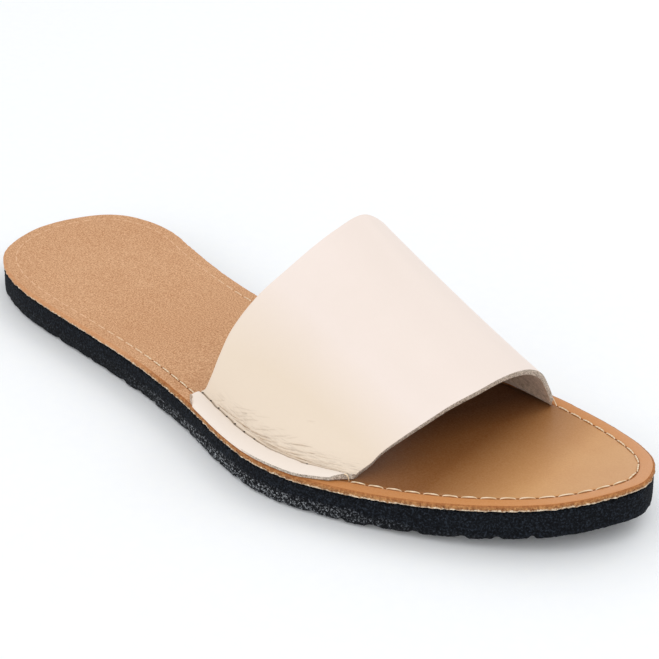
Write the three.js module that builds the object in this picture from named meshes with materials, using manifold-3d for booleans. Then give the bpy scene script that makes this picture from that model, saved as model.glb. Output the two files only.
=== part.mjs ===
import * as THREE from 'three';
import Module from 'manifold-3d';

const wasm = await Module();
wasm.setup();

// A right-foot slide sandal: a rubber outsole, a leather footbed and one wide leather band.
// Millimetres. The toe points along +X, the big-toe (medial) side is +Y and up is +Z.
// Places along the foot are measured from the back of the heel, and the last step centres the sandal.

// Driving dimensions of the sole
const SOLE_LENGTH = 249.2;
const BALL_WIDTH = 84.7;
const OUTSOLE_HEEL_THICKNESS = 9;
const OUTSOLE_BALL_THICKNESS = 8.5;
const TOE_SPRING = 6;
const TOE_SPRING_START = 173;
const OUTSOLE_TOP_INSET = 0.2;
const OUTSOLE_FOOT_INSET = 0.1;
const OUTSOLE_EDGE_ROUND = 0.5;
const FOOTBED_LEATHER = 1.8;
const FOOTBED_EDGE_ROUND = 0.4;

// Driving dimensions of the tread under the outsole
const TREAD_PITCH = 9;
const TREAD_GROOVE_WIDTH = 2.6;
const TREAD_GROOVE_DEPTH = 0.9;
const TREAD_ZIGZAG_DEPTH = 4;
const TREAD_ZIGZAG_STEP = 12;
const TREAD_END_MARGIN = 10;

// Driving dimensions of the band
const BAND_LEATHER = 1.7;
const SEAM_MARGIN = 4.8;
const FLANGE_EDGE_MARGIN = 0.3;
const FLANGE_BEND = 1.1;
const FLANGE_CORNER_LENGTH = 5;
const FLANGE_REAR_SHARE = 0.67;
const FLANGE_FRONT_SLANT = 5.5;
const FLANGE_SLANT_LENGTH = 14;
const BAND_LATERAL_REAR = 127;
const BAND_LATERAL_FRONT = 188.5;
const BAND_MEDIAL_REAR = 148.7;
const BAND_MEDIAL_FRONT = 202.9;
const BAND_INSTEP_RISE = 49;
const BAND_TOE_RISE = 17.2;
const BAND_SAG = 2.3;
const BAND_REAR_BOW = 7;
const BAND_FRONT_BOW = 5.2;

// Clearance between pieces that lie on each other
const SEAT_GAP = 0.3;

// How finely curved forms are divided
const OUTLINE_STEPS = 720;
const SOLE_STATIONS = 72;
const BAND_STATIONS = 16;
const BAND_STEPS = 64;

// The sole's outline: how far each side lies from the centre line, as shares of the ball width.
const OUTLINE = [
  { along: 0.020, lateral: 0.176, medial: 0.240 },
  { along: 0.050, lateral: 0.267, medial: 0.336 },
  { along: 0.100, lateral: 0.334, medial: 0.379 },
  { along: 0.149, lateral: 0.364, medial: 0.376 },
  { along: 0.199, lateral: 0.377, medial: 0.337 },
  { along: 0.299, lateral: 0.392, medial: 0.270 },
  { along: 0.398, lateral: 0.413, medial: 0.238 },
  { along: 0.498, lateral: 0.459, medial: 0.270 },
  { along: 0.597, lateral: 0.528, medial: 0.356 },
  { along: 0.647, lateral: 0.545, medial: 0.400 },
  { along: 0.697, lateral: 0.530, medial: 0.436 },
  { along: 0.746, lateral: 0.485, medial: 0.455 },
  { along: 0.796, lateral: 0.425, medial: 0.453 },
  { along: 0.846, lateral: 0.352, medial: 0.435 },
  { along: 0.896, lateral: 0.262, medial: 0.404 },
  { along: 0.950, lateral: 0.132, medial: 0.346 },
  { along: 0.980, lateral: 0.009, medial: 0.285 },
];
const HEEL_BACK = { along: 0, offset: 0.024 };
const TOE_TIP = { along: 1, offset: 0.157 };

// The band's section at its rear and front edges, from the lateral seam to the medial one:
// across is a share of the distance between the seams, rise a share of the crest's height.
const BAND_SECTION = [
  { rearAcross: 0.022, rearRise: 0.009, frontAcross: 0.019, frontRise: 0.000 },
  { rearAcross: 0.051, rearRise: 0.097, frontAcross: 0.035, frontRise: 0.047 },
  { rearAcross: 0.089, rearRise: 0.250, frontAcross: 0.075, frontRise: 0.156 },
  { rearAcross: 0.139, rearRise: 0.414, frontAcross: 0.114, frontRise: 0.304 },
  { rearAcross: 0.243, rearRise: 0.613, frontAcross: 0.194, frontRise: 0.494 },
  { rearAcross: 0.380, rearRise: 0.772, frontAcross: 0.291, frontRise: 0.674 },
  { rearAcross: 0.488, rearRise: 0.875, frontAcross: 0.399, frontRise: 0.838 },
  { rearAcross: 0.600, rearRise: 0.953, frontAcross: 0.523, frontRise: 0.935 },
  { rearAcross: 0.735, rearRise: 1.000, frontAcross: 0.640, frontRise: 1.000 },
  { rearAcross: 0.846, rearRise: 0.924, frontAcross: 0.740, frontRise: 0.978 },
  { rearAcross: 0.910, rearRise: 0.835, frontAcross: 0.817, frontRise: 0.883 },
  { rearAcross: 0.965, rearRise: 0.639, frontAcross: 0.886, frontRise: 0.694 },
  { rearAcross: 0.995, rearRise: 0.441, frontAcross: 0.934, frontRise: 0.410 },
  { rearAcross: 1.000, rearRise: 0.245, frontAcross: 0.967, frontRise: 0.176 },
  { rearAcross: 1.000, rearRise: 0.088, frontAcross: 0.986, frontRise: 0.020 },
];

const MATERIALS = {
  rubber: new THREE.MeshStandardMaterial({ color: 0x1c2026, roughness: 0.95, metalness: 0 }),
  tanLeather: new THREE.MeshStandardMaterial({ color: 0xc9966a, roughness: 0.6, metalness: 0 }),
  creamLeather: new THREE.MeshStandardMaterial({ color: 0xf2e6da, roughness: 0.5, metalness: 0 }),
};

const lerp = THREE.MathUtils.lerp;
const clamp = THREE.MathUtils.clamp;

// The closed outline, from the heel along the lateral side to the toe and back along the medial side
function outlinePoints() {
  const plan = (along, offset) => new THREE.Vector3(along * SOLE_LENGTH, offset * BALL_WIDTH, 0);
  const lateral = OUTLINE.map((row) => plan(row.along, -row.lateral));
  const medial = OUTLINE.map((row) => plan(row.along, row.medial)).reverse();
  const heel = plan(HEEL_BACK.along, HEEL_BACK.offset);
  const toe = plan(TOE_TIP.along, TOE_TIP.offset);
  const curve = new THREE.CatmullRomCurve3([heel, ...lateral, toe, ...medial], true, 'centripetal');
  const points = curve.getPoints(OUTLINE_STEPS);
  points.pop();
  return points;
}

const OUTLINE_POINTS = outlinePoints();

// The outline moved inwards, split into its lateral and medial sides, each running from heel to toe
function sides(inset) {
  const count = OUTLINE_POINTS.length;
  const moved = OUTLINE_POINTS.map((point, i) => {
    const before = OUTLINE_POINTS[(i + count - 1) % count];
    const after = OUTLINE_POINTS[(i + 1) % count];
    const length = Math.hypot(after.x - before.x, after.y - before.y);
    return {
      x: point.x - inset * (after.y - before.y) / length,
      y: point.y + inset * (after.x - before.x) / length,
    };
  });
  const rearmost = moved.reduce((best, point, i) => (point.x < moved[best].x ? i : best), 0);
  const foremost = moved.reduce((best, point, i) => (point.x > moved[best].x ? i : best), 0);
  const run = (from, to) => {
    const points = [];
    for (let i = from; i !== to; i = (i + 1) % count) points.push(moved[i]);
    points.push(moved[to]);
    return points;
  };
  return { lateral: run(rearmost, foremost), medial: run(foremost, rearmost).reverse() };
}

// The Y of one side at a place along the foot
function sideAt(side, x) {
  for (let i = 1; i < side.length; i += 1) {
    if (side[i].x >= x) {
      const back = side[i - 1];
      const share = clamp((x - back.x) / Math.max(side[i].x - back.x, 1e-9), 0, 1);
      return lerp(back.y, side[i].y, share);
    }
  }
  return side[side.length - 1].y;
}

// Heights along the foot
function outsoleFoot(x) {
  const span = SOLE_LENGTH - TOE_SPRING_START;
  const share = Math.max((x - TOE_SPRING_START) / span, 0);
  return TOE_SPRING * share * share;
}

function outsoleTop(x) {
  const share = THREE.MathUtils.smoothstep(x / SOLE_LENGTH, 0.25, 0.65);
  return outsoleFoot(x) + lerp(OUTSOLE_HEEL_THICKNESS, OUTSOLE_BALL_THICKNESS, share);
}

function footbedUnder(x) {
  return outsoleTop(x) + SEAT_GAP;
}

function footbedTop(x) {
  return footbedUnder(x) + FOOTBED_LEATHER;
}

function geometryOf(positions, indices) {
  const geometry = new THREE.BufferGeometry();
  geometry.setAttribute('position', new THREE.Float32BufferAttribute(positions, 3));
  geometry.setIndex(indices);
  return geometry;
}

// A sheet cut to the sole's outline. Levels run from its underside to its top face.
function soleSheet(levels) {
  const positions = [];
  const indices = [];
  const addPoint = (x, y, z) => positions.push(x, y, z) / 3 - 1;
  const rings = levels.map(({ inset, height }) => {
    const { lateral, medial } = sides(inset);
    const rear = lateral[0].x;
    const front = lateral[lateral.length - 1].x;
    const ring = { lateral: [], medial: [] };
    for (let k = 0; k <= SOLE_STATIONS; k += 1) {
      const x = lerp(rear, front, (1 - Math.cos(Math.PI * k / SOLE_STATIONS)) / 2);
      const z = height(x);
      ring.lateral.push(addPoint(x, sideAt(lateral, x), z));
      const isTip = k === 0 || k === SOLE_STATIONS;
      ring.medial.push(isTip ? ring.lateral[k] : addPoint(x, sideAt(medial, x), z));
    }
    return ring;
  });
  const addTriangle = (a, b, c) => {
    if (a !== b && b !== c && c !== a) indices.push(a, b, c);
  };
  const addQuad = (a, b, c, d) => {
    addTriangle(a, b, c);
    addTriangle(a, c, d);
  };
  const bottom = rings[0];
  const top = rings[rings.length - 1];
  for (let k = 0; k < SOLE_STATIONS; k += 1) {
    addQuad(top.lateral[k], top.lateral[k + 1], top.medial[k + 1], top.medial[k]);
    addQuad(bottom.medial[k], bottom.medial[k + 1], bottom.lateral[k + 1], bottom.lateral[k]);
    for (let level = 1; level < rings.length; level += 1) {
      const lower = rings[level - 1];
      const upper = rings[level];
      addQuad(lower.lateral[k], lower.lateral[k + 1], upper.lateral[k + 1], upper.lateral[k]);
      addQuad(upper.medial[k], upper.medial[k + 1], lower.medial[k + 1], lower.medial[k]);
    }
  }
  return geometryOf(positions, indices);
}

function toManifold(geometry) {
  const vertProperties = new Float32Array(geometry.getAttribute('position').array);
  const triVerts = new Uint32Array(geometry.getIndex().array);
  return new wasm.Manifold(new wasm.Mesh({ numProp: 3, vertProperties, triVerts }));
}

function fromManifold(solid) {
  const mesh = solid.getMesh();
  return geometryOf(Array.from(mesh.vertProperties), Array.from(mesh.triVerts));
}

// One zigzag groove across the underside, as the solid that is cut away
function treadGroove(middle) {
  const positions = [];
  const indices = [];
  const halfWidth = TREAD_GROOVE_WIDTH / 2;
  const stepsEachSide = Math.ceil(BALL_WIDTH / 2 / TREAD_ZIGZAG_STEP) + 1;
  const steps = 2 * stepsEachSide;
  for (let step = 0; step <= steps; step += 1) {
    const y = (step - stepsEachSide) * TREAD_ZIGZAG_STEP;
    const x = middle + TREAD_ZIGZAG_DEPTH * (step % 2 - 0.5);
    const below = outsoleFoot(x) - 2 * TREAD_GROOVE_DEPTH;
    positions.push(x - halfWidth, y, below, x + halfWidth, y, below);
    positions.push(x + halfWidth, y, outsoleFoot(x + halfWidth) + TREAD_GROOVE_DEPTH);
    positions.push(x - halfWidth, y, outsoleFoot(x - halfWidth) + TREAD_GROOVE_DEPTH);
  }
  for (let step = 0; step < steps; step += 1) {
    for (let corner = 0; corner < 4; corner += 1) {
      const a = step * 4 + corner;
      const b = step * 4 + (corner + 1) % 4;
      indices.push(a, a + 4, b + 4, a, b + 4, b);
    }
  }
  const last = steps * 4;
  indices.push(0, 1, 2, 0, 2, 3, last, last + 2, last + 1, last, last + 3, last + 2);
  return geometryOf(positions, indices);
}

function outsole() {
  const roundInset = OUTSOLE_FOOT_INSET - OUTSOLE_EDGE_ROUND / 3;
  let body = toManifold(soleSheet([
    { inset: OUTSOLE_FOOT_INSET + OUTSOLE_EDGE_ROUND, height: outsoleFoot },
    { inset: roundInset, height: (x) => outsoleFoot(x) + OUTSOLE_EDGE_ROUND },
    { inset: OUTSOLE_TOP_INSET, height: outsoleTop },
  ]));
  const end = SOLE_LENGTH - TREAD_END_MARGIN;
  for (let middle = TREAD_END_MARGIN; middle <= end; middle += TREAD_PITCH) {
    body = body.subtract(toManifold(treadGroove(middle)));
  }
  return fromManifold(body);
}

function footbed() {
  const lowerEdge = (x) => footbedUnder(x) + FOOTBED_EDGE_ROUND;
  const upperEdge = (x) => footbedTop(x) - FOOTBED_EDGE_ROUND;
  return soleSheet([
    { inset: FOOTBED_EDGE_ROUND / 2, height: footbedUnder },
    { inset: 0, height: lowerEdge },
    { inset: 0, height: upperEdge },
    { inset: FOOTBED_EDGE_ROUND, height: footbedTop },
  ]);
}

// The place on a seam line, with the direction that leads from it out to the sole's edge
function seamPoint(side, x, outwards) {
  const step = 1;
  const slope = (sideAt(side, x + step) - sideAt(side, x - step)) / (2 * step);
  const length = Math.hypot(slope, 1);
  const z = footbedTop(x) + SEAT_GAP + BAND_LEATHER / 2;
  return {
    place: new THREE.Vector3(x, sideAt(side, x), z),
    out: new THREE.Vector3(-outwards * slope / length, outwards / length, 0),
  };
}

// How far the flange's round rear corner has opened, from 0 at its end to 1
function cornerRounding(distance) {
  const share = Math.min(distance / FLANGE_CORNER_LENGTH, 1);
  return Math.sqrt(1 - (1 - share) ** 2);
}

// The middle of the band's leather at one share of its way from the rear edge to the front edge
function bandSection(seams, share) {
  const lateral = seamPoint(seams.lateral, lerp(BAND_LATERAL_REAR, BAND_LATERAL_FRONT, share), -1);
  const medial = seamPoint(seams.medial, lerp(BAND_MEDIAL_REAR, BAND_MEDIAL_FRONT, share), 1);
  const run = BAND_LATERAL_FRONT - BAND_LATERAL_REAR;
  const fullFlange = SEAM_MARGIN - FLANGE_EDGE_MARGIN;
  const flange = fullFlange * lerp(FLANGE_REAR_SHARE, 1, cornerRounding(share * run));
  const slant = FLANGE_FRONT_SLANT * Math.max(1 - (1 - share) * run / FLANGE_SLANT_LENGTH, 0);
  const crest = lerp(BAND_INSTEP_RISE, BAND_TOE_RISE, share) - BAND_SAG * 4 * share * (1 - share);
  const arch = BAND_SECTION.map((row) => {
    const across = lerp(row.rearAcross, row.frontAcross, share);
    const point = lateral.place.clone().lerp(medial.place, across);
    point.x += lerp(BAND_REAR_BOW, BAND_FRONT_BOW, share) * 4 * across * (1 - across);
    point.z += crest * lerp(row.rearRise, row.frontRise, share);
    return point;
  });
  const beside = (seam, distance, back) => {
    const point = seam.place.clone().addScaledVector(seam.out, distance);
    point.x -= back;
    return point;
  };
  return new THREE.CatmullRomCurve3([
    beside(lateral, flange, slant),
    beside(lateral, FLANGE_BEND, slant / 3),
    ...arch,
    beside(medial, FLANGE_BEND, slant / 3),
    beside(medial, flange, slant),
  ], false, 'centripetal');
}

// The band as one wall: a grid through the middle of the leather, thickened to both sides
function upper() {
  const seams = sides(SEAM_MARGIN);
  const grid = [];
  for (let i = 0; i <= BAND_STATIONS; i += 1) {
    const share = i / BAND_STATIONS;
    const eased = share * (1 + share) / 2;
    grid.push(bandSection(seams, lerp(share, eased, 0.5)).getPoints(BAND_STEPS));
  }
  const positions = [];
  const indices = [];
  const width = BAND_STEPS + 1;
  const layer = (BAND_STATIONS + 1) * width;
  for (const direction of [1, -1]) {
    for (let i = 0; i <= BAND_STATIONS; i += 1) {
      for (let j = 0; j <= BAND_STEPS; j += 1) {
        const along = grid[Math.min(i + 1, BAND_STATIONS)][j].clone().sub(grid[Math.max(i - 1, 0)][j]);
        const across = grid[i][Math.min(j + 1, BAND_STEPS)].clone().sub(grid[i][Math.max(j - 1, 0)]);
        const normal = along.cross(across).normalize();
        const point = grid[i][j].clone().addScaledVector(normal, direction * BAND_LEATHER / 2);
        positions.push(point.x, point.y, point.z);
      }
    }
  }
  const outer = (i, j) => i * width + j;
  const inner = (i, j) => layer + i * width + j;
  const addQuad = (a, b, c, d) => indices.push(a, b, c, a, c, d);
  for (let i = 0; i < BAND_STATIONS; i += 1) {
    for (let j = 0; j < BAND_STEPS; j += 1) {
      addQuad(outer(i, j), outer(i + 1, j), outer(i + 1, j + 1), outer(i, j + 1));
      addQuad(inner(i, j), inner(i, j + 1), inner(i + 1, j + 1), inner(i + 1, j));
    }
    addQuad(outer(i, 0), inner(i, 0), inner(i + 1, 0), outer(i + 1, 0));
    addQuad(outer(i, BAND_STEPS), outer(i + 1, BAND_STEPS), inner(i + 1, BAND_STEPS), inner(i, BAND_STEPS));
  }
  for (let j = 0; j < BAND_STEPS; j += 1) {
    addQuad(outer(0, j), outer(0, j + 1), inner(0, j + 1), inner(0, j));
    addQuad(outer(BAND_STATIONS, j), inner(BAND_STATIONS, j), inner(BAND_STATIONS, j + 1), outer(BAND_STATIONS, j + 1));
  }
  return geometryOf(positions, indices);
}

const sandal = new THREE.Group();
const outlineBox = new THREE.Box3().setFromPoints(OUTLINE_POINTS);
const centre = outlineBox.getCenter(new THREE.Vector3());

function addPiece(name, geometry, material) {
  geometry.computeVertexNormals();
  const mesh = new THREE.Mesh(geometry, material);
  mesh.name = name;
  mesh.position.set(-centre.x, -centre.y, 0);
  sandal.add(mesh);
}

addPiece('outsole', outsole(), MATERIALS.rubber);
addPiece('footbed', footbed(), MATERIALS.tanLeather);
addPiece('upper', upper(), MATERIALS.creamLeather);

export default sandal;
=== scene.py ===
"""A right-foot slide sandal: crumb rubber outsole, tan leather footbed and one wide cream leather band.

Metres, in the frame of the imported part: the toe points along +X, the big-toe side is +Y and up is +Z.
"""

import math

import bmesh
import bpy
import numpy as np
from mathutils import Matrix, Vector, noise


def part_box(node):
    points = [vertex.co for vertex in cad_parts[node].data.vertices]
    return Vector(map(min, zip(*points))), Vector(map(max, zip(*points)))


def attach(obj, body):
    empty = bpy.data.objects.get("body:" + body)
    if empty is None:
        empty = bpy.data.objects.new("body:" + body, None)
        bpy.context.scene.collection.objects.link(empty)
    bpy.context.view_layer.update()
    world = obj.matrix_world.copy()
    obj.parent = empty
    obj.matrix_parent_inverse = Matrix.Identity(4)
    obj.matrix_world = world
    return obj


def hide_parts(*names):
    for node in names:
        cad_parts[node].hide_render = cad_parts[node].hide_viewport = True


MM = 0.001
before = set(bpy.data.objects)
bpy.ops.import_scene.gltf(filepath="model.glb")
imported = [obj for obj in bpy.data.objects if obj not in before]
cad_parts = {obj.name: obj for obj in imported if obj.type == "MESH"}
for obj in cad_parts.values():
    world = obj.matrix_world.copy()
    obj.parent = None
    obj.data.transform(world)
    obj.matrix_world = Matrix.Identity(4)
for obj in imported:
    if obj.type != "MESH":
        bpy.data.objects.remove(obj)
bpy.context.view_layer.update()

# Where things are, from the frame
HEEL_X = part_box("footbed")[0][0]
SOLE_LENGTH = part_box("footbed")[1][0] - HEEL_X

# The band's leather and the gap under it, in metres
BAND_LEATHER = 1.7 * MM
SEAT_GAP = 0.3 * MM

# The stitch line, in metres
STITCH_MARGIN = 4.3 * MM
STITCH_PITCH = 5.0 * MM
STITCH_GAP = 0.4 * MM
STITCH_ARCH = 0.36 * MM
CREASE_STITCH_ARCH = 0.05 * MM
THREAD_WIDTH = 0.43 * MM
THREAD_DIP = 0.25 * MM
THREAD_OVER_SHARE = 0.6
HOLE_WIDTH = 0.62 * MM
HOLE_LIFT = 0.06 * MM
CREASE_HOLE_LIFT = 0.42 * MM
GROOVE_DEPTH = 0.2 * MM
GROOVE_HALF_WIDTH = 0.42 * MM
HEEL_WEAR_START = -50 * MM
HEEL_WEAR_LENGTH = 40 * MM
HEEL_RELIEF_SHARE = 0.3

# The stitch at each side that passes over the band's front edge: its lift at the start,
# the edge's place (forwards, share of the way across, up) and its arch
BRIDGE_START_LIFT = 0.35 * MM
BRIDGE_EDGE = (2.6 * MM, 0.75, 0.15 * MM)
BRIDGE_ARCH = 0.1 * MM

# The band: places along the foot from the heel, and rises above its seams, in metres
BAND_LATERAL = (127 * MM, 188.5 * MM)
BAND_MEDIAL = (148.7 * MM, 202.9 * MM)
BAND_RISE = (49 * MM, 17.2 * MM)
BAND_SAG = 2.3 * MM
BAND_BOW = (7 * MM, 5.2 * MM)
SEAM_MARGIN = 4.8 * MM
FLANGE_EDGE_MARGIN = 0.3 * MM
FLANGE_BEND = 1.1 * MM
FLANGE_CORNER_LENGTH = 5 * MM
FLANGE_REAR_SHARE = 0.67
FLANGE_FRONT_SLANT = 5.5 * MM
FLANGE_SLANT_LENGTH = 14 * MM
FLANGE_REAR_ROUND = 1.6 * MM
FLANGE_PRESSED = (1.15 * MM, 0.75 * MM)
FLANGE_ROLLED_SHARE = 0.5
FLANGE_DROOP = (0.6 * MM, 0.1 * MM)
SEAM_CREASE_DEPTH = 0.6 * MM
SEAM_CREASE_WIDTH = 0.24 * MM
SEAM_WANDERS = ((0.12 * MM, 2.1 * MM), (0.08 * MM, 0.9 * MM))
SEAM_STATIONS = slice(3, -7)
SOFT_EDGE = 0.22 * MM
FRONT_CUT_SLANT = 0.6 * MM
BAND_STATIONS = 150
BAND_STEP = 0.22 * MM
BAND_WIDE_STEP = 1.2 * MM
BAND_FINE_ROWS = 6

# The band's section at its rear and front edges, from the lateral seam to the medial one:
# rear across, rear rise, front across, front rise, as shares of the seams' distance and the height
BAND_SECTION = (
    (0.022, 0.009, 0.019, 0.000),
    (0.051, 0.097, 0.035, 0.047),
    (0.089, 0.250, 0.075, 0.156),
    (0.139, 0.414, 0.114, 0.304),
    (0.243, 0.613, 0.194, 0.494),
    (0.380, 0.772, 0.291, 0.674),
    (0.488, 0.875, 0.399, 0.838),
    (0.600, 0.953, 0.523, 0.935),
    (0.735, 1.000, 0.640, 1.000),
    (0.846, 0.924, 0.740, 0.978),
    (0.910, 0.835, 0.817, 0.883),
    (0.965, 0.639, 0.886, 0.694),
    (0.995, 0.441, 0.934, 0.410),
    (1.000, 0.245, 0.967, 0.176),
    (1.000, 0.088, 0.986, 0.020),
)

# Creases in the band above its seams, in millimetres:
# start and end along the seam from the rear, height above the seam at each, depth, half width
CREASES = (
    (5, 11, 0.6, 4.6, 0.12, 0.34),
    (8, 17, 0.9, 2.0, 0.22, 0.24),
    (15, 24, 2.0, 5.8, 0.15, 0.26),
    (13, 25, 3.6, 8.5, 0.11, 0.32),
    (15, 26, 2.7, 8.2, 0.13, 0.28),
    (14, 22, 1.3, 3.2, 0.19, 0.24),
    (20, 27, 2.8, 6.4, 0.16, 0.25),
    (17, 27, 1.2, 2.8, 0.21, 0.24),
    (25, 35, 2.4, 7.4, 0.17, 0.26),
    (21, 32, 1.6, 3.3, 0.21, 0.24),
    (23, 34, 1.0, 3.8, 0.21, 0.24),
    (32, 39, 3.4, 7.6, 0.16, 0.26),
    (27, 38, 0.9, 4.0, 0.21, 0.24),
    (36, 47, 3.9, 6.8, 0.16, 0.26),
    (29, 41, 1.1, 2.2, 0.23, 0.22),
    (39, 48, 2.0, 3.5, 0.21, 0.24),
    (34, 45, 0.8, 1.8, 0.23, 0.22),
    (43, 53, 1.6, 2.5, 0.23, 0.22),
    (35, 45, 2.3, 4.1, 0.19, 0.24),
    (43, 52, 3.8, 5.7, 0.15, 0.26),
    (44, 58, 2.0, 3.7, 0.19, 0.24),
    (41, 51, 1.1, 1.1, 0.21, 0.22),
    (48, 58, 1.0, 1.9, 0.21, 0.22),
    (49, 60, 0.9, 1.4, 0.21, 0.22),
    (37, 41, 5.5, 7.9, 0.11, 0.30),
    (39, 42, 12.8, 13.8, 0.08, 0.34),
    (27, 33, 5.0, 6.6, 0.10, 0.30),
    (46, 55, 4.4, 5.0, 0.13, 0.26),
    (52, 60, 2.6, 2.8, 0.13, 0.26),
    (18, 24, 4.9, 6.0, 0.10, 0.28),
    (22, 30, 6.0, 8.8, 0.08, 0.32),
    (30, 36, 2.9, 4.3, 0.15, 0.24),
    (40, 46, 5.2, 6.4, 0.10, 0.28),
    (31, 37, 6.6, 8.2, 0.08, 0.30),
    (33, 60, 0.9, 1.0, 0.30, 0.20),
    (26, 60, 0.0, 0.0, 0.35, 0.22),
)

# The footbed's edge, from the top face inwards of the stitches, round the cut edge, to the underside:
# inset from the outline and depth below the top face, in millimetres
FOOTBED_PROFILE = (
    (9.0, 0.00),
    (6.4, 0.00),
    (5.4, 0.00),
    (4.9, 0.00),
    (4.6, 0.00),
    (4.3, 0.00),
    (4.0, 0.00),
    (3.7, 0.00),
    (3.2, 0.00),
    (2.4, 0.00),
    (1.6, 0.00),
    (1.1, 0.03),
    (0.7, 0.09),
    (0.35, 0.22),
    (0.12, 0.42),
    (0.0, 0.70),
    (0.0, 1.05),
    (0.0, 1.36),
    (0.05, 1.55),
    (0.2, 1.70),
    (0.5, 1.80),
    (3.0, 1.80),
    (9.0, 1.80),
)
FOOTBED_EDGE_ROW = 12
OUTLINE_STEP = 0.55 * MM
STRIP_LENGTH = 4 * MM
EDGE_TEAR_LENGTH = 0.9 * MM
EDGE_TEAR_DEPTH = 0.42 * MM
EDGE_WAVE_LENGTH = 6 * MM
EDGE_WAVE_DEPTH = 0.12 * MM

# The outsole's surface, in metres
OUTSOLE_VOXEL = 0.9 * MM
CRUMB_SIZE = 1.1 * MM
CRUMB_RELIEF = 0.16 * MM
CUT_WAVE_LENGTH = 7 * MM
CUT_WAVE_DEPTH = 0.35 * MM

# Where finishes, painted shade and a painted highlight change along the foot (X) or across it (Y) in
# the part's frame, in metres
BURNISHED_SPAN = (-10 * MM, 50 * MM)
# Painted shade cast by the band on the forefoot: the slope and span of its slanting border
BAND_SHADE_SLOPE = 0.15
BAND_SHADE_SPAN = (104 * MM, 77 * MM)
# Painted shade under the band: the slope and span of its slanting border
UNDER_BAND_SHADE_SLOPE = -0.35
UNDER_BAND_SHADE_SPAN = (68 * MM, 55 * MM)
GLOSS_SPAN = (98 * MM, 125 * MM)
# Painted highlight on the footbed's cut edge at the heel: where it fades out
HEEL_EDGE_HIGHLIGHT_SPAN = (-35 * MM, -12 * MM)
WORN_THREAD_SPAN = (-20 * MM, -60 * MM)
WORN_HOLE_SPAN = (-20 * MM, -50 * MM)
# On the outsole: where the lower zone's crumbs are palest, and the height of the painted overhang
# shade's border
PALE_CRUMB_SPANS = ((-35 * MM, 10 * MM), (85 * MM, 50 * MM))
OVERHANG_SHADE_LEVEL_SPAN = (6.6 * MM, 5.0 * MM)
INNER_SIDE_SPAN = (0.0, 14 * MM)
OUTER_SIDE_SPAN = (-12 * MM, -26 * MM)

# Where the toe's margin starts: inset from the outline in millimetres
MARGIN_SPAN = (4.9, 4.1)

# Where the flange's finish changes along and up from the seam, and how far an edge's zones wander,
# in metres
FLANGE_SPAN = (-0.8 * MM, 0.3 * MM)
BARE_EDGE_ALONG = (30 * MM, 38 * MM)
BARE_EDGE_UP = (-0.8 * MM, 0.2 * MM)
FIBRE_WANDER = 0.9 * MM

# Shares of a pattern between which its two colours fade
WHOLE_SPAN = (0.0, 1.0)
CLOUD_SPAN = (0.35, 0.65)
SPECK_SPAN = (0.38, 0.62)


def linear(hex_colour):
    """An sRGB hex colour as linear red, green, blue and alpha."""
    parts = [int(hex_colour[i:i + 2], 16) / 255 for i in (1, 3, 5)]
    return [p / 12.92 if p <= 0.04045 else ((p + 0.055) / 1.055) ** 2.4 for p in parts] + [1]


def per_metre(size_mm):
    """A pattern scale from the real size of one cell in millimetres."""
    return 1000 / size_mm


def connect(tree, node, sockets):
    """Links or sets a node's sockets from other sockets, hex colours and numbers."""
    for name, value in sockets.items():
        if isinstance(value, bpy.types.NodeSocket):
            tree.links.new(value, node.inputs[name])
        else:
            node.inputs[name].default_value = linear(value) if isinstance(value, str) else value


def add(tree, kind, sockets, **settings):
    """Adds one node with its settings and its sockets."""
    made = tree.nodes.new(kind)
    for name, value in settings.items():
        setattr(made, name, value)
    connect(tree, made, sockets)
    return made


def start_material(name, roughness, ior=1.5):
    """A named material with its shader and its object coordinates."""
    material = bpy.data.materials.new(name)
    material.use_nodes = True
    tree = material.node_tree
    shader = tree.nodes["Principled BSDF"]
    connect(tree, shader, {"Roughness": roughness, "IOR": ior})
    place = add(tree, "ShaderNodeTexCoord", {}).outputs["Object"]
    return material, tree, shader, place


def fade_colour(tree, value, span, first, second):
    """A colour that goes from the first to the second as a value crosses a span."""
    sockets = {"Value": value, "From Min": span[0], "From Max": span[1]}
    share = add(tree, "ShaderNodeMapRange", sockets).outputs["Result"]
    sockets = {"Factor": share, 6: first, 7: second}
    return add(tree, "ShaderNodeMix", sockets, data_type="RGBA").outputs[2]


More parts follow.
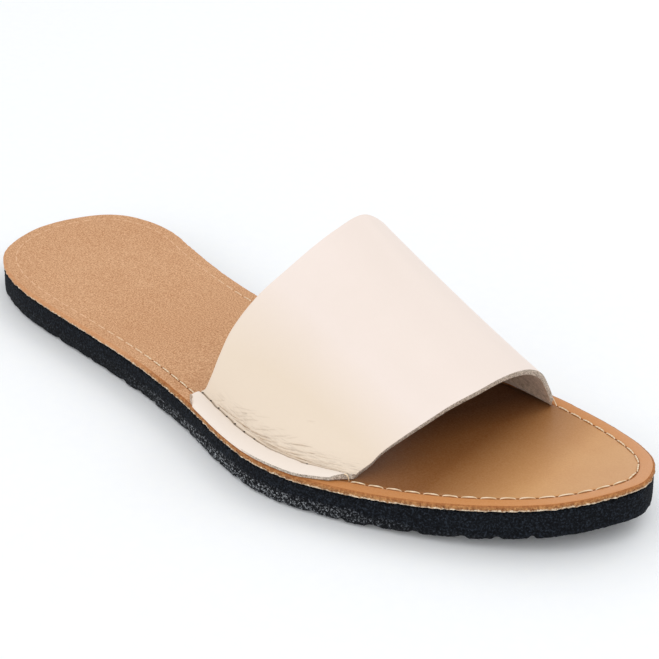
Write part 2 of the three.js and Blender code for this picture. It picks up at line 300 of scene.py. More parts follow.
def tan_leather_grain():
    # Vegetable-tanned cowhide in its natural tan: matt and pebbled at the heel,
    # burnished smooth at the toe
    material, tree, shader, place = start_material("vegetable_tanned_grain", 0.55, 1.48)
    apart = add(tree, "ShaderNodeSeparateXYZ", {"Vector": place})
    x, y = apart.outputs["X"], apart.outputs["Y"]
    sockets = {"Value": x, "From Min": BURNISHED_SPAN[0], "From Max": BURNISHED_SPAN[1]}
    toe_share = add(tree, "ShaderNodeMapRange", sockets).outputs["Result"]
    sockets = {"Vector": place, "Scale": per_metre(34), "Detail": 4.0, "Roughness": 0.6}
    clouds = add(tree, "ShaderNodeTexNoise", sockets).outputs["Fac"]
    heel = fade_colour(tree, clouds, CLOUD_SPAN, "#cd8c5b", "#d89c6e")
    toe = fade_colour(tree, clouds, CLOUD_SPAN, "#c68e58", "#ce9a64")
    # Painted shade of the band, over the hide's own darker forefoot tone, browns it behind one slanting
    # line
    sockets = {0: y, 1: BAND_SHADE_SLOPE, 2: x}
    ahead = add(tree, "ShaderNodeMath", sockets, operation="MULTIPLY_ADD").outputs[0]
    retinted = fade_colour(tree, ahead, BAND_SHADE_SPAN, toe, "#7c4a1b")
    # Painted shade under the band darkens the hide behind another slanting line
    sockets = {0: y, 1: UNDER_BAND_SHADE_SLOPE, 2: x}
    inside = add(tree, "ShaderNodeMath", sockets, operation="MULTIPLY_ADD").outputs[0]
    under_band_shade = fade_colour(tree, inside, UNDER_BAND_SHADE_SPAN, retinted, "#482204")
    # Outside the stitches the forefoot's margin is kept a bright orange tan, clear of the painted shade
    rim = add(tree, "ShaderNodeAttribute", {}, attribute_name="rim").outputs["Fac"]
    sockets = {"Value": rim, "From Min": MARGIN_SPAN[0], "From Max": MARGIN_SPAN[1], "To Max": 0.88}
    margin = add(tree, "ShaderNodeMapRange", sockets).outputs["Result"]
    forefoot = fade_colour(tree, margin, WHOLE_SPAN, under_band_shade, "#cd8a50")
    base = fade_colour(tree, toe_share, WHOLE_SPAN, heel, forefoot)
    # Grain pebbles of a fifth of a millimetre, drawn at half a millimetre to show
    sockets = {"Vector": place, "Scale": per_metre(0.5), "Detail": 3.0, "Roughness": 0.8}
    pebbles = add(tree, "ShaderNodeTexNoise", sockets).outputs["Fac"]
    contrast = add(tree, "ShaderNodeMapRange", {"Value": toe_share, "To Min": 0.62, "To Max": 0.08})
    dark = fade_colour(tree, contrast.outputs["Result"], WHOLE_SPAN, base, "#9c6a42")
    light = fade_colour(tree, contrast.outputs["Result"], WHOLE_SPAN, base, "#edc8a2")
    rough = add(tree, "ShaderNodeMapRange", {"Value": toe_share, "To Min": 0.78, "To Max": 0.40})
    strength = add(tree, "ShaderNodeMapRange", {"Value": toe_share, "To Min": 0.6, "To Max": 0.12})
    sockets = {"Height": pebbles, "Strength": strength.outputs["Result"], "Distance": 0.25 * MM}
    bump = add(tree, "ShaderNodeBump", sockets)
    sockets = {"Value": ahead, "From Min": GLOSS_SPAN[0], "From Max": GLOSS_SPAN[1], "To Max": 0.75}
    gloss = add(tree, "ShaderNodeMapRange", sockets)
    connect(tree, shader, {
        "Base Color": fade_colour(tree, pebbles, SPECK_SPAN, dark, light),
        "Roughness": rough.outputs["Result"],
        "Normal": bump.outputs["Normal"],
        "Coat Weight": gloss.outputs["Result"],
        "Coat Roughness": 0.3,
        "Specular IOR Level": 0.18,
    })
    return material


def footbed_cut_edge():
    # The knife-cut edge of the tan hide: burnished at its top corner, then brown, then pale torn fibres
    material, tree, shader, place = start_material("footbed_cut_edge", 0.88, 1.45)
    depth = add(tree, "ShaderNodeAttribute", {}, attribute_name="depth").outputs["Fac"]
    sockets = {"Vector": place, "Scale": per_metre(0.9), "Detail": 5.0, "Roughness": 0.8}
    fibres = add(tree, "ShaderNodeTexNoise", sockets).outputs["Fac"]
    # The borders between the zones wander with the fibres
    sockets = {0: fibres, 1: FIBRE_WANDER, 2: depth}
    deeper = add(tree, "ShaderNodeMath", sockets, operation="MULTIPLY_ADD").outputs[0]
    sockets = {0: deeper, 1: FIBRE_WANDER / 2}
    wandered = add(tree, "ShaderNodeMath", sockets, operation="SUBTRACT").outputs[0]
    burnished = fade_colour(tree, fibres, SPECK_SPAN, "#9a5c2c", "#bd7c45")
    brown = fade_colour(tree, fibres, SPECK_SPAN, "#6f3c17", "#c99058")
    pale = fade_colour(tree, fibres, SPECK_SPAN, "#8f6236", "#f6e6cc")
    forefoot = fade_colour(tree, wandered, (0.25 * MM, 0.55 * MM), burnished, brown)
    # At the heel the edge is painted the colour of the top: a painted highlight
    retinted = fade_colour(tree, fibres, SPECK_SPAN, "#c4875a", "#dba577")
    x = add(tree, "ShaderNodeSeparateXYZ", {"Vector": place}).outputs["X"]
    upper = fade_colour(tree, x, HEEL_EDGE_HIGHLIGHT_SPAN, retinted, forefoot)
    bump = add(tree, "ShaderNodeBump", {"Height": fibres, "Strength": 0.9, "Distance": 0.35 * MM})
    connect(tree, shader, {
        "Base Color": fade_colour(tree, wandered, (1.05 * MM, 1.35 * MM), upper, pale),
        "Normal": bump.outputs["Normal"],
    })
    return material


def band_cut_edge():
    # The cut edge of the cream hide: grey-brown raw fibre, salt and pepper, matt
    material, tree, shader, place = start_material("band_cut_edge", 0.92, 1.45)
    # Fibre bundles of a tenth of a millimetre, drawn at half a millimetre to show
    sockets = {"Vector": place, "Scale": per_metre(0.5), "Detail": 3.0, "Roughness": 0.8}
    fibres = add(tree, "ShaderNodeTexNoise", sockets).outputs["Fac"]
    raw = fade_colour(tree, fibres, SPECK_SPAN, "#7d7064", "#ddd2c4")
    # Along the flange the edge comes out from under the rolled grain by and by
    run = add(tree, "ShaderNodeAttribute", {}, attribute_name="run").outputs["Vector"]
    apart = add(tree, "ShaderNodeSeparateXYZ", {"Vector": run})
    shares = {}
    for k, (axis, span) in enumerate((("X", BARE_EDGE_ALONG), ("Y", BARE_EDGE_UP))):
        sockets = {"Value": apart.outputs[axis], "From Min": span[0], "From Max": span[1]}
        shares[k] = add(tree, "ShaderNodeMapRange", sockets).outputs["Result"]
    bare = add(tree, "ShaderNodeMath", shares, operation="MAXIMUM").outputs[0]
    bump = add(tree, "ShaderNodeBump", {"Height": fibres, "Strength": 0.9, "Distance": 0.25 * MM})
    connect(tree, shader, {
        "Base Color": fade_colour(tree, bare, WHOLE_SPAN, "#eadccf", raw),
        "Normal": bump.outputs["Normal"],
    })
    return material


def cream_leather():
    # Smooth full-grain leather, pigment finished: cream, warmer on the outer side,
    # with a low satin gloss and very fine pores
    material, tree, shader, place = start_material("full_grain_cream", 0.5, 1.5)
    y = add(tree, "ShaderNodeSeparateXYZ", {"Vector": place}).outputs["Y"]
    sockets = {"Vector": place, "Scale": per_metre(26), "Detail": 3.0, "Roughness": 0.5}
    clouds = add(tree, "ShaderNodeTexNoise", sockets).outputs["Fac"]
    cream = fade_colour(tree, clouds, CLOUD_SPAN, "#efe1d8", "#f2e4dc")
    inner_side = fade_colour(tree, y, INNER_SIDE_SPAN, cream, "#ebddd4")
    wall = fade_colour(tree, y, OUTER_SIDE_SPAN, inner_side, "#e7d6c2")
    # The flange, held flat by the seam, has stayed whiter: run gives the way along and up from the seam
    run = add(tree, "ShaderNodeAttribute", {}, attribute_name="run").outputs["Vector"]
    up = add(tree, "ShaderNodeSeparateXYZ", {"Vector": run}).outputs["Y"]
    body = fade_colour(tree, up, FLANGE_SPAN, "#efe2d6", wall)
    # Fine creases gather over the seam, where crumple says, and hold a little shade
    crumple = add(tree, "ShaderNodeAttribute", {}, attribute_name="crumple").outputs["Fac"]
    sockets = {"Vector": run, "Scale": (per_metre(5), per_metre(0.6), 1)}
    stretched = add(tree, "ShaderNodeMapping", sockets).outputs["Vector"]
    sockets = {"Vector": stretched, "Scale": 1.0, "Detail": 2.0, "Roughness": 0.6, "Distortion": 0.4}
    lines = add(tree, "ShaderNodeTexNoise", sockets).outputs["Fac"]
    sockets = {"Value": lines, "From Min": 0.47, "From Max": 0.36}
    low = add(tree, "ShaderNodeMapRange", sockets).outputs["Result"]
    shade = add(tree, "ShaderNodeMath", {0: low, 1: crumple}, operation="MULTIPLY").outputs[0]
    shaded = fade_colour(tree, shade, WHOLE_SPAN, body, "#d6c5b2")
    # Painted shade darkens the creases' troughs, and most the seam's furrow where the thread pulls the
    # leather down
    trough = add(tree, "ShaderNodeAttribute", {}, attribute_name="trough").outputs["Fac"]
    sockets = {"Value": trough, "From Min": 0.02, "From Max": 0.2, "To Max": 0.55}
    crease = add(tree, "ShaderNodeMapRange", sockets).outputs["Result"]
    painted_crease_shade = fade_colour(tree, crease, WHOLE_SPAN, shaded, "#ab9681")
    # Painted shade of the seam's deep furrow
    sockets = {"Value": trough, "From Min": 0.3, "From Max": 0.8, "To Max": 0.9}
    furrow = add(tree, "ShaderNodeMapRange", sockets).outputs["Result"]
    folds = add(tree, "ShaderNodeMath", {0: lines, 1: crumple}, operation="MULTIPLY").outputs[0]
    sockets = {"Height": folds, "Strength": 0.8, "Distance": 0.5 * MM}
    folded = add(tree, "ShaderNodeBump", sockets).outputs["Normal"]
    # Pores of a tenth of a millimetre, drawn at 0.7 mm to show
    sockets = {"Vector": place, "Scale": per_metre(0.7), "Randomness": 1.0}
    pores = add(tree, "ShaderNodeTexVoronoi", sockets).outputs["Distance"]
    sockets = {"Vector": place, "Scale": per_metre(2.4), "Detail": 3.0, "Roughness": 0.6}
    soft = add(tree, "ShaderNodeTexNoise", sockets).outputs["Fac"]
    sockets = {0: soft, 1: 3.0, 2: pores}
    height = add(tree, "ShaderNodeMath", sockets, operation="MULTIPLY_ADD").outputs[0]
    sockets = {"Height": height, "Strength": 0.3, "Distance": 0.05 * MM, "Normal": folded}
    bump = add(tree, "ShaderNodeBump", sockets)
    connect(tree, shader, {
        "Base Color": fade_colour(tree, furrow, WHOLE_SPAN, painted_crease_shade, "#7d6a58"),
        "Normal": bump.outputs["Normal"],
        "Coat Weight": 0.06,
        "Coat Roughness": 0.35,
    })
    return material


def flesh_side():
    # The flesh side of the hide: brushed nap, matt and a little darker than the grain
    material, tree, shader, place = start_material("flesh_side_nap", 0.95, 1.45)
    sockets = {"Vector": place, "Scale": per_metre(1.2), "Detail": 5.0, "Roughness": 0.8}
    nap = add(tree, "ShaderNodeTexNoise", sockets).outputs["Fac"]
    bump = add(tree, "ShaderNodeBump", {"Height": nap, "Strength": 0.7, "Distance": 0.15 * MM})
    connect(tree, shader, {
        "Base Color": fade_colour(tree, nap, CLOUD_SPAN, "#8f7763", "#ccb49e"),
        "Normal": bump.outputs["Normal"],
        "Sheen Weight": 0.3,
    })
    return material


def crumb_rubber():
    # Ground rubber pressed with a binder and knife cut: blue-black and dead matt, speckled paler near
    # the ground, and darker above with painted shade under the footbed's overhang
    material, tree, shader, place = start_material("crumb_rubber", 0.95, 1.25)
    apart = add(tree, "ShaderNodeSeparateXYZ", {"Vector": place})
    # The border between the painted shade above and the speckled zone below rises and falls
    sockets = {"Vector": place, "Scale": per_metre(9), "Detail": 2.0, "Roughness": 0.5}
    waves = add(tree, "ShaderNodeTexNoise", sockets).outputs["Fac"]
    sockets = {0: waves, 1: 3.0 * MM, 2: apart.outputs["Z"]}
    level = add(tree, "ShaderNodeMath", sockets, operation="MULTIPLY_ADD").outputs[0]
    sockets = {"Vector": place, "Scale": per_metre(0.9), "Randomness": 1.0}
    crumbs = add(tree, "ShaderNodeTexVoronoi", sockets).outputs["Distance"]
    sockets = {"Vector": place, "Scale": per_metre(0.6), "Detail": 3.0, "Roughness": 0.8}
    fine = add(tree, "ShaderNodeTexNoise", sockets).outputs["Fac"]
    # The lower zone's pale crumbs are palest beside the band
    shares = {}
    for k, span in enumerate(PALE_CRUMB_SPANS):
        sockets = {"Value": apart.outputs["X"], "From Min": span[0], "From Max": span[1]}
        shares[k] = add(tree, "ShaderNodeMapRange", sockets).outputs["Result"]
    beside = add(tree, "ShaderNodeMath", shares, operation="MULTIPLY").outputs[0]
    torn = fade_colour(tree, beside, WHOLE_SPAN, "#41464d", "#b2b6bb")
    # Painted shade under the footbed's overhang: the upper zone's near-black
    upper = fade_colour(tree, fine, (0.48, 0.70), "#06080d", "#2f3640")
    lower = fade_colour(tree, fine, (0.53, 0.65), "#0d0f13", torn)
    height = add(tree, "ShaderNodeMath", {0: crumbs, 1: fine}, operation="ADD").outputs[0]
    bump = add(tree, "ShaderNodeBump", {"Height": height, "Strength": 0.9, "Distance": 0.4 * MM})
    connect(tree, shader, {
        "Base Color": fade_colour(tree, level, OVERHANG_SHADE_LEVEL_SPAN, upper, lower),
        "Normal": bump.outputs["Normal"],
    })
    return material


def sewing_thread():
    # Bonded polyester thread: pale straw on the forefoot, rubbed into the leather's colour at the heel
    material, tree, shader, place = start_material("bonded_thread", 0.6, 1.5)
    x = add(tree, "ShaderNodeSeparateXYZ", {"Vector": place}).outputs["X"]
    # Plies twist once in a millimetre, drawn as slanted shading:
    # a wave's bands lie 0.31 of its scale apart
    turned = add(tree, "ShaderNodeMapping", {"Vector": place, "Rotation": (0, 0, math.radians(40))})
    sockets = {"Vector": turned.outputs["Vector"], "Scale": per_metre(3.3), "Distortion": 0.4}
    plies = add(tree, "ShaderNodeTexWave", sockets).outputs["Fac"]
    fresh = fade_colour(tree, plies, WHOLE_SPAN, "#d9bb92", "#f3e0c4")
    retinted = fade_colour(tree, plies, WHOLE_SPAN, "#dbaa80", "#e6bd96")
    bump = add(tree, "ShaderNodeBump", {"Height": plies, "Strength": 0.4, "Distance": 0.06 * MM})
    connect(tree, shader, {
        "Base Color": fade_colour(tree, x, WORN_THREAD_SPAN, fresh, retinted),
        "Normal": bump.outputs["Normal"],
    })
    return material


def thread_painted_in_shade():
    # The same pale thread pulled down into the cream band's crease, painted dark with the crease's
    # shade
    material, tree, shader, place = start_material("thread_in_crease_shade", 0.6, 1.5)
    sockets = {"Vector": place, "Scale": per_metre(0.8), "Detail": 2.0}
    shade = add(tree, "ShaderNodeTexNoise", sockets).outputs["Fac"]
    connect(tree, shader, {"Base Color": fade_colour(tree, shade, WHOLE_SPAN, "#8f7f6e", "#b5a592")})
    return material


def needle_hole(name, dark, light, worn):
    # A flattened disc painted with the shade inside a needle hole and its torn fibres, worn shut at the
    # heel
    material, tree, shader, place = start_material(name, 1.0, 1.4)
    sockets = {"Vector": place, "Scale": per_metre(0.5), "Detail": 2.0}
    shade = add(tree, "ShaderNodeTexNoise", sockets).outputs["Fac"]
    fresh = fade_colour(tree, shade, WHOLE_SPAN, dark, light)
    x = add(tree, "ShaderNodeSeparateXYZ", {"Vector": place}).outputs["X"]
    connect(tree, shader, {"Base Color": fade_colour(tree, x, WORN_HOLE_SPAN, fresh, worn)})
    return material


def seamless_paper():
    # White background paper: matt, with faint fibre clouds
    material, tree, shader, place = start_material("white_paper", 0.7)
    sockets = {"Vector": place, "Scale": per_metre(4), "Detail": 2.0}
    fibre = add(tree, "ShaderNodeTexNoise", sockets).outputs["Fac"]
    connect(tree, shader, {"Base Color": fade_colour(tree, fibre, WHOLE_SPAN, "#f8fbff", "#fcfeff")})
    return material


def merged_copy(node):
    """A bmesh of a CAD node with its loose triangles joined."""
    mesh = bmesh.new()
    mesh.from_mesh(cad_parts[node].data)
    bmesh.ops.remove_doubles(mesh, verts=mesh.verts, dist=0.01 * MM)
    mesh.normal_update()
    return mesh


def read_outline():
    """The footbed's outline seen from above, read from the upright edges of its CAD solid."""
    mesh = merged_copy("footbed")
    corners = set()
    for edge in mesh.edges:
        a, b = (v.co for v in edge.verts)
        if math.hypot(a.x - b.x, a.y - b.y) < 0.002 * MM:
            corners.add((round(a.x, 6), round(a.y, 6)))
    mesh.free()
    stations = {}
    for x, y in corners:
        stations.setdefault(x, []).append(y)
    places = sorted(stations)
    lateral = [(x, min(stations[x])) for x in places]
    medial = [(x, max(stations[x])) for x in places if len(stations[x]) > 1]
    return np.array(lateral + medial[::-1])


def read_height(node, upwards):
    """The height of a CAD sheet's top face or underside along X."""
    mesh = merged_copy(node)
    points = sorted((v.co.x, v.co.z) for v in mesh.verts if v.normal.z * upwards > 0.7)
    mesh.free()
    xs, zs = np.array(points).T
    return lambda x: np.interp(x, xs, zs)


def resample(loop, step):
    """A closed loop divided evenly, then evened out where its corners were."""
    closed = np.vstack([loop, loop[:1]])
    lengths = np.r_[0, np.cumsum(np.hypot(*np.diff(closed, axis=0).T))]
    count = int(round(lengths[-1] / step))
    places = np.linspace(0, lengths[-1], count, endpoint=False)
    even = np.column_stack([np.interp(places, lengths, closed[:, axis]) for axis in (0, 1)])
    for _ in range(6):
        even = (np.roll(even, 1, axis=0) + 2 * even + np.roll(even, -1, axis=0)) / 4
    return even


OUTLINE = resample(read_outline(), OUTLINE_STEP)
footbed_top = read_height("footbed", 1)


def inset(distance):
    """The outline moved inwards."""
    along = np.roll(OUTLINE, -1, axis=0) - np.roll(OUTLINE, 1, axis=0)
    along /= np.hypot(*along.T)[:, None]
    return OUTLINE + distance * np.column_stack([-along[:, 1], along[:, 0]])


def side_of(loop, medial):
    """One side of a loop as a function from X to Y."""
    rear, front = loop[:, 0].argmin(), loop[:, 0].argmax()
    order = np.roll(np.arange(len(loop)), -rear)
    turn = (front - rear) % len(loop)
    chosen = order[turn:][::-1] if medial else order[:turn + 1]
    points = loop[chosen]
    return lambda x: np.interp(x, points[:, 0], points[:, 1])


def smooth_object(name, mesh, materials):
    """Makes an object of a finished bmesh, smooth shaded."""
    data = bpy.data.meshes.new(name)
    for face in mesh.faces:
        face.smooth = True
    mesh.to_mesh(data)
    mesh.free()
    for material in materials:
        data.materials.append(material)
    made = bpy.data.objects.new(name, data)
    bpy.context.scene.collection.objects.link(made)
    return made


def apply_modifiers(piece):
    """Applies a piece's modifiers to its mesh."""
    graph = bpy.context.evaluated_depsgraph_get()
    finished = bpy.data.meshes.new_from_object(piece.evaluated_get(graph))
    piece.modifiers.clear()
    piece.data = finished


def stitch_wear(x):
    """How much of the stitching's relief is left: all on the forefoot, little at the heel."""
    share = min(max((x - HEEL_WEAR_START) / HEEL_WEAR_LENGTH, 0), 1)
    return HEEL_RELIEF_SHARE + (1 - HEEL_RELIEF_SHARE) * share


def groove_depth(inset_mm, x):
    """The soft groove that the thread has pulled into the footbed."""
    distance = (inset_mm * MM - STITCH_MARGIN) / GROOVE_HALF_WIDTH
    return GROOVE_DEPTH * stitch_wear(x) * math.exp(-distance ** 2)


def make_footbed(materials):
    """The footbed: its edge profile carried round the outline, then closed with strips across."""
    mesh = bmesh.new()
    around = len(OUTLINE)
    rows = len(FOOTBED_PROFILE)
    bmesh.ops.create_grid(mesh, x_segments=around, y_segments=rows - 1, size=1)
    depth_layer = mesh.verts.layers.float.new("depth")
    rim_layer = mesh.verts.layers.float.new("rim")
    loops = [inset(row[0] * MM) for row in FOOTBED_PROFILE]
    outwards = OUTLINE - loops[0]
    outwards /= np.hypot(*outwards.T)[:, None]
    for vertex in mesh.verts:
        i = round((vertex.co.x + 1) / 2 * around) % around
        j = round((vertex.co.y + 1) / 2 * (rows - 1))
        x, y = loops[j][i]
        inset_mm, depth_mm = FOOTBED_PROFILE[j]
        depth = depth_mm * MM
        if j < FOOTBED_EDGE_ROW:
            depth += groove_depth(inset_mm, x)
        rough = min(max(depth_mm - 0.1, 0), 1) if inset_mm < 1 else 0
        tear = noise.noise(Vector((x, y, depth)) / EDGE_TEAR_LENGTH) * EDGE_TEAR_DEPTH * rough
        cut_wave = noise.noise(Vector((x, y, 0)) / EDGE_WAVE_LENGTH) * EDGE_WAVE_DEPTH * (inset_mm < 1)
        away = outwards[i] * (tear + cut_wave)
        vertex.co = (x + away[0], y + away[1], footbed_top(x) - depth)
        vertex[depth_layer] = depth
        vertex[rim_layer] = inset_mm
    bmesh.ops.remove_doubles(mesh, verts=mesh.verts, dist=0.001 * MM)
    edge_depth = FOOTBED_PROFILE[FOOTBED_EDGE_ROW][1] * MM
    for face in mesh.faces:
        depths = [vertex[depth_layer] for vertex in face.verts]
        if sum(depths) / len(depths) > edge_depth and max(depths) > edge_depth + 0.05 * MM:
            face.material_index = 1
    rims = [edge for edge in mesh.edges if edge.is_boundary]
    caps = bmesh.ops.edgeloop_fill(mesh, edges=rims)["faces"]
    for face in caps:
        face.material_index = 0 if face.calc_center_median().z > footbed_top(0) - 1 * MM else 1
    x = HEEL_X + STRIP_LENGTH
    while x < HEEL_X + SOLE_LENGTH:
        caps = [face for face in caps if face.is_valid]
        parts = set(caps)
        for face in caps:
            parts.update(face.edges)
            parts.update(face.verts)
        cut = bmesh.ops.bisect_plane(mesh, geom=list(parts), plane_co=(x, 0, 0), plane_no=(1, 0, 0))
        caps = [part for part in cut["geom"] if isinstance(part, bmesh.types.BMFace)]
        x += STRIP_LENGTH
    bmesh.ops.recalc_face_normals(mesh, faces=mesh.faces)
    piece = smooth_object("footbed_leather", mesh, materials)
    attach(piece, "root")
    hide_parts("footbed")
    return piece


def centripetal(points, steps):
    """A centripetal curve through the points, with a number of steps in each stretch."""
    ends = [2 * points[0] - points[1]], [2 * points[-1] - points[-2]]
    p = np.vstack([ends[0], points, ends[1]])
    curve = []
    for k, count in enumerate(steps):
        p0, p1, p2, p3 = p[k:k + 4]
        spans = (p1 - p0, p2 - p1, p3 - p2)
        d0, d1, d2 = (max(np.linalg.norm(span), 1e-9) ** 0.5 for span in spans)
        t1 = ((p1 - p0) / d0 - (p2 - p0) / (d0 + d1) + (p2 - p1) / d1) * d1
        t2 = ((p2 - p1) / d1 - (p3 - p1) / (d1 + d2) + (p3 - p2) / d2) * d1
        for t in np.arange(count) / count:
            a = 2 * p1 - 2 * p2 + t1 + t2
            b = -3 * p1 + 3 * p2 - 2 * t1 - t2
            curve.append(((a * t + b) * t + t1) * t + p1)
    curve.append(p[-2])
    return np.array(curve)


def seam_point(side, x, outwards):
    """A place on a seam at mid-leather, with the direction from it to the sole's edge."""
    step = 1 * MM
    slope = (side(x + step) - side(x - step)) / (2 * step)
    out = np.array([-outwards * slope, outwards, 0]) / math.hypot(slope, 1)
    place = np.array([x, side(x), footbed_top(x) + SEAT_GAP + BAND_LEATHER / 2])
    return place, out


def corner_rounding(distance):
    """How far the flange's round rear corner has opened, from 0 at its end to 1."""
    share = min(distance / FLANGE_CORNER_LENGTH, 1)
    return math.sqrt(1 - (1 - share) ** 2)


def band_controls(share, lateral_side, medial_side):
    """The points that one section of the band passes through, at mid-leather."""
    def between(pair):
        return pair[0] + (pair[1] - pair[0]) * share

    lateral, lateral_out = seam_point(lateral_side, HEEL_X + between(BAND_LATERAL), -1)
    medial, medial_out = seam_point(medial_side, HEEL_X + between(BAND_MEDIAL), 1)
    run = BAND_LATERAL[1] - BAND_LATERAL[0]
    rear = corner_rounding(share * run)
    flange = (SEAM_MARGIN - FLANGE_EDGE_MARGIN) * (FLANGE_REAR_SHARE + (1 - FLANGE_REAR_SHARE) * rear)
    slant = FLANGE_FRONT_SLANT * max(1 - (1 - share) * run / FLANGE_SLANT_LENGTH, 0)
    crest = between(BAND_RISE) - BAND_SAG * 4 * share * (1 - share)

    def beside(seam, out, distance, back):
        return seam + out * distance - np.array([back, 0, 0])

    points = [
        beside(lateral, lateral_out, flange, slant),
        beside(lateral, lateral_out, FLANGE_BEND, slant / 3),
    ]
    for rear_across, rear_rise, front_across, front_rise in BAND_SECTION:
        across = between((rear_across, front_across))
        point = lateral + (medial - lateral) * across
        point[0] += between(BAND_BOW) * 4 * across * (1 - across)
        point[2] += crest * between((rear_rise, front_rise))
        points.append(point)
    points += [
        beside(medial, medial_out, FLANGE_BEND, slant / 3),
        beside(medial, medial_out, flange, slant),
    ]
    return np.array(points)


def crease_depths(along, up):
    """How far the creases press into the leather at places along and up from a seam, in millimetres."""
    depth = np.zeros_like(along)
    for start, end, low, high, deep, half in CREASES:
        share = np.clip((along - start) / (end - start), 0, 1)
        fade = np.sin(np.pi * share) ** 0.8
        wander = 0.10 * np.sin(along * 0.8 + start) + 0.05 * np.sin(along * 2.3 + end)
        distance = (up - (low + (high - low) * share + wander)) / half
        depth += deep * fade * (np.exp(-distance ** 2) - 0.5 * np.exp(-(np.abs(distance) - 1.7) ** 2))
    return depth


def flange_corner(grid, edge, inner, step):
    """Rounds the rear outer corner of one flange by moving its rows forwards."""
    run = np.linalg.norm(np.diff(grid[:, edge], axis=0), axis=1).cumsum()
    run = np.r_[0, run]
    for j in range(edge, inner, step):
        width = np.linalg.norm(grid[0, j] - grid[0, edge])
        if width > FLANGE_REAR_ROUND:
            break
        shift = FLANGE_REAR_ROUND - math.sqrt(FLANGE_REAR_ROUND ** 2 - (FLANGE_REAR_ROUND - width) ** 2)
        grid[:, j, 0] += shift * np.clip(1 - run / (4 * FLANGE_REAR_ROUND), 0, 1) ** 1.5


def band_surfaces():
    """The band's outer and inner surfaces as grids, with the ways along and up from the seams,
    how deep its creases are, and the columns of the two seams.
    """
    lateral_side = side_of(inset(SEAM_MARGIN), False)
    medial_side = side_of(inset(SEAM_MARGIN), True)
    middle = band_controls(0.4, lateral_side, medial_side)
    stretches = np.linalg.norm(np.diff(middle, axis=0), axis=1)
    steps = []
    for k, length in enumerate(stretches):
        fine = min(k, len(stretches) - 1 - k) < BAND_FINE_ROWS - (3 if k > len(stretches) / 2 else 0)
        steps.append(max(4, math.ceil(length / (BAND_STEP if fine else BAND_WIDE_STEP))))
    grid = []
    for i in range(BAND_STATIONS + 1):
        share = i / BAND_STATIONS
        grid.append(centripetal(band_controls(share, lateral_side, medial_side), steps))
    grid = np.array(grid)
    last = grid.shape[1] - 1
    seam_columns = (steps[0] + steps[1] // 2, last - steps[-1] - steps[-2] // 2)
    flange_corner(grid, 0, seam_columns[0], 1)
    flange_corner(grid, last, seam_columns[1], -1)
    normals = np.cross(np.gradient(grid, axis=0), np.gradient(grid, axis=1))
    normals /= np.linalg.norm(normals, axis=2)[..., None]
    lengths = np.linalg.norm(np.diff(grid, axis=1), axis=2).cumsum(axis=1)
    lengths = np.hstack([np.zeros((len(grid), 1)), lengths])
    ups = [lengths - lengths[:, [seam_columns[0]]], lengths[:, [seam_columns[1]]] - lengths]
    up = np.minimum(*ups)
    nearest_lateral = ups[0] < ups[1]
    along = np.zeros_like(up)
    for column, chosen in zip(seam_columns, (nearest_lateral, ~nearest_lateral)):
        run = np.r_[0, np.linalg.norm(np.diff(grid[:, column], axis=0), axis=1).cumsum()]
        along[chosen] = np.repeat(run[:, None], grid.shape[1], axis=1)[chosen]
    depths = crease_depths(along / MM, up / MM) * MM * np.where(nearest_lateral, 1, 0.6)
    wander = sum(size * np.sin(along / length) for size, length in SEAM_WANDERS)
    depths += SEAM_CREASE_DEPTH * np.exp(-((up - wander) / SEAM_CREASE_WIDTH) ** 2)
    flange = lengths[:, [seam_columns[0]]], (lengths[:, [-1]] - lengths[:, [seam_columns[1]]])
    width = np.where(nearest_lateral, flange[0], flange[1])
    shares = np.linspace(0, 1, len(grid))[:, None]
    rolled = FLANGE_PRESSED[0] + (FLANGE_PRESSED[1] - FLANGE_PRESSED[0]) * shares
    pressed = rolled * np.clip(-up / width, 0, 1) ** 2.2
    droop = FLANGE_DROOP[0] + (FLANGE_DROOP[1] - FLANGE_DROOP[0]) * np.clip(shares / 0.7, 0, 1)
    grid[..., 2] -= droop * np.clip(-up / width, 0, 1) ** 7
    outer = grid + normals * (BAND_LEATHER / 2 - depths - pressed)[..., None]
    inner = grid - normals * (BAND_LEATHER / 2)
    # The front edge is cut at a slant on the inner side of the foot, less towards mid-band and the seam
    across = np.linspace(0, 1, grid.shape[1])
    slanted = np.clip((across - 0.5) / 0.25, 0, 1) * np.clip(up[-1] / (3 * MM), 0, 1)
    inner[-1] += np.array([1, 0, 0.15]) * FRONT_CUT_SLANT * slanted[:, None]
    return outer, inner, along, up, depths, seam_columns


